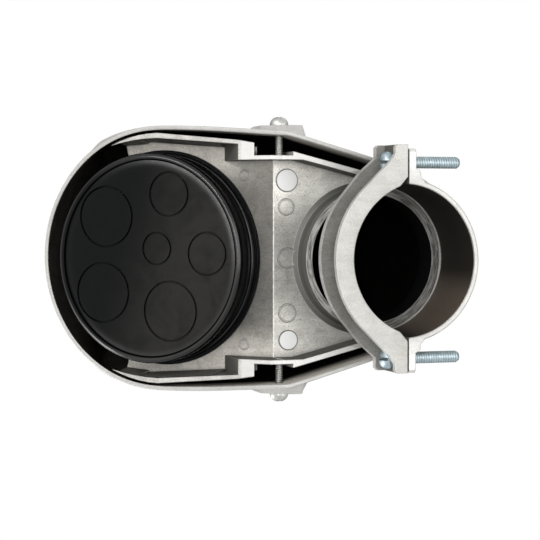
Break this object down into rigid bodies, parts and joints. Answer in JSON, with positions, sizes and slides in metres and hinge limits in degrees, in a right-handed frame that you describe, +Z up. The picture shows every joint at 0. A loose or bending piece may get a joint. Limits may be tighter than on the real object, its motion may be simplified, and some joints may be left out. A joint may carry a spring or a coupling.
{
  "type": "service entrance weatherhead",
  "caption": "Clamp-on service entrance weatherhead: cast base with split conduit collar, domed hood and a round wire insert with knock-out rings.",
  "frame": {"origin": "on the conduit axis at the mouth of the collar", "axes": "+Z up the conduit axis into the head, +X towards the wire openings, Y across the head"},
  "size_m": [0.1603, 0.116, 0.147],
  "materials": {
    "cast_base": "as cast, mottled",
    "cast_hood": "as cast",
    "cast_strap": "as cast, speckled",
    "insert_plastic": "semi-gloss moulded",
    "zinc_screws": "bright zinc"
  },
  "bodies": {
    "base": {"base_casting": "cast_base", "wire_insert": "insert_plastic", "hood": "cast_hood"},
    "strap": {"clamp_strap": "cast_strap"},
    "clamp_screw_left": {"clamp_screw_left": "zinc_screws"},
    "clamp_screw_right": {"clamp_screw_right": "zinc_screws"},
    "hood_screw_left": {"hood_screw_left": "zinc_screws"},
    "hood_screw_right": {"hood_screw_right": "zinc_screws"}
  },
  "joints": [
    {"name": "strap_slide", "type": "slide", "parent": "base", "child": "strap", "axis": [1, 0, 0], "range_m": [0, 0.022]},
    {"name": "clamp_screw_left_turn", "type": "hinge", "parent": "strap", "child": "clamp_screw_left", "pos_m": [0, 0.0392, 0.009], "axis": [1, 0, 0], "range_deg": [0, 7500]},
    {"name": "clamp_screw_right_turn", "type": "hinge", "parent": "strap", "child": "clamp_screw_right", "pos_m": [0, -0.0392, 0.009], "axis": [1, 0, 0], "range_deg": [0, 7500]},
    {"name": "hood_screw_left_out", "type": "slide", "parent": "base", "child": "hood_screw_left", "axis": [0, 1, 0], "range_m": [0, 0.0145]},
    {"name": "hood_screw_right_out", "type": "slide", "parent": "base", "child": "hood_screw_right", "axis": [0, -1, 0], "range_m": [0, 0.0145]}
  ],
  "couplings": [
    {"joint": "clamp_screw_left_turn", "follows": "strap_slide", "rad_per_m": 5937.1},
    {"joint": "clamp_screw_right_turn", "follows": "strap_slide", "rad_per_m": 5937.1}
  ]
}
